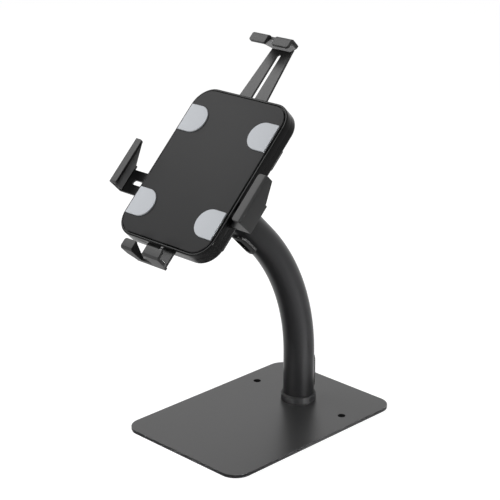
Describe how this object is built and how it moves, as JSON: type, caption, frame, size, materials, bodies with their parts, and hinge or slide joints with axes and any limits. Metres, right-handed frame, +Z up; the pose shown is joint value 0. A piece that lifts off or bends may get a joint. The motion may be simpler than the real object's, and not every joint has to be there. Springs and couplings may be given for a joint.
{
  "type": "tablet holder",
  "caption": "Desk stand for a tablet: a flat base, a bent tube and a tilting, turning head whose sliding arms grip the tablet's edges with padded claws.",
  "frame": {"origin": "centre of the underside of the base, on the desk", "axes": "+X to the user's right, -Y towards the user, +Z up"},
  "size_m": [0.2002, 0.3086, 0.443],
  "materials": {
    "base_coat": "satin grey powder coat",
    "column_coat": "satin black powder coat",
    "joint_coat": "satin black powder coat",
    "bar_coat": "satin dark grey powder coat",
    "bare_steel": "plain machined steel",
    "zinc_steel": "bright zinc plate",
    "spring_steel": "oiled spring steel",
    "dark_screw": "black oxide",
    "housing_plastic": "satin moulded",
    "panel_plastic": "fine matt texture",
    "guide_plastic": "plain moulded",
    "claw_plastic": "fine matt texture",
    "black_plastic": "satin moulded",
    "nylon": "natural nylon",
    "mat_rubber": "matt black rubber",
    "liner_rubber": "matt dark grey rubber",
    "pad_rubber": "matt light grey silicone"
  },
  "bodies": {
    "base": {"base_plate": "base_coat", "base_mat": "mat_rubber", "column_tube": "column_coat", "foot_plug": "bare_steel", "foot_screws": "zinc_steel", "base_collar": "black_plastic", "lower_cable_grommet": "mat_rubber", "upper_cable_grommet": "mat_rubber", "neck_yoke": "joint_coat", "neck_set_screws": "zinc_steel", "tilt_bolt": "zinc_steel", "tilt_nut": "zinc_steel", "tilt_outer_washers": "zinc_steel", "tilt_friction_washers": "nylon"},
    "tilt": {"tilt_knuckle": "joint_coat", "swivel_stud": "bare_steel", "swivel_friction_washer": "nylon", "swivel_retainer": "zinc_steel", "swivel_spring_washer": "spring_steel", "swivel_nut": "zinc_steel"},
    "head": {"rear_bracket": "joint_coat", "bracket_screws": "zinc_steel", "bracket_nuts": "zinc_steel", "rear_housing": "housing_plastic", "front_frame": "housing_plastic", "front_panel": "panel_plastic", "panel_screws": "dark_screw", "chassis_plate": "bare_steel", "upper_guides": "guide_plastic", "lower_guides": "guide_plastic", "arm_clamp_screws": "dark_screw", "arm_clamp_nuts": "zinc_steel", "pad_upper_left": "pad_rubber", "pad_upper_right": "pad_rubber", "pad_lower_left": "pad_rubber", "pad_lower_right": "pad_rubber"},
    "top_arm": {"top_arm_bar": "bar_coat", "top_claw": "claw_plastic", "top_claw_liner": "liner_rubber", "top_claw_screws": "zinc_steel"},
    "bottom_arm": {"bottom_arm_bar": "bar_coat", "bottom_claw": "claw_plastic", "bottom_claw_liner": "liner_rubber", "bottom_claw_screws": "zinc_steel"},
    "left_arm": {"left_arm_bar": "bar_coat", "left_claw": "claw_plastic", "left_claw_liner": "liner_rubber", "left_claw_screws": "zinc_steel"},
    "right_arm": {"right_arm_bar": "bar_coat", "right_claw": "claw_plastic", "right_claw_liner": "liner_rubber", "right_claw_screws": "zinc_steel"}
  },
  "joints": [
    {"name": "head_tilt", "type": "hinge", "parent": "base", "child": "tilt", "pos_m": [0, -0.05956, 0.27658], "axis": [1, 0, 0], "range_deg": [-45, 45]},
    {"name": "head_swivel", "type": "hinge", "parent": "tilt", "child": "head", "pos_m": [0, -0.07724, 0.29426], "axis": [0, -0.7071, 0.7071], "continuous": true},
    {"name": "top_arm_slide", "type": "slide", "parent": "head", "child": "top_arm", "axis": [0, 0.7071, 0.7071], "range_m": [-0.0645, 0.026]},
    {"name": "bottom_arm_slide", "type": "slide", "parent": "head", "child": "bottom_arm", "axis": [0, -0.7071, -0.7071], "range_m": [-0.015, 0.0102]},
    {"name": "left_arm_slide", "type": "slide", "parent": "head", "child": "left_arm", "axis": [-1, 0, 0], "range_m": [-0.029, 0.018]},
    {"name": "right_arm_slide", "type": "slide", "parent": "head", "child": "right_arm", "axis": [1, 0, 0], "range_m": [-0.0234, 0.0236]}
  ]
}
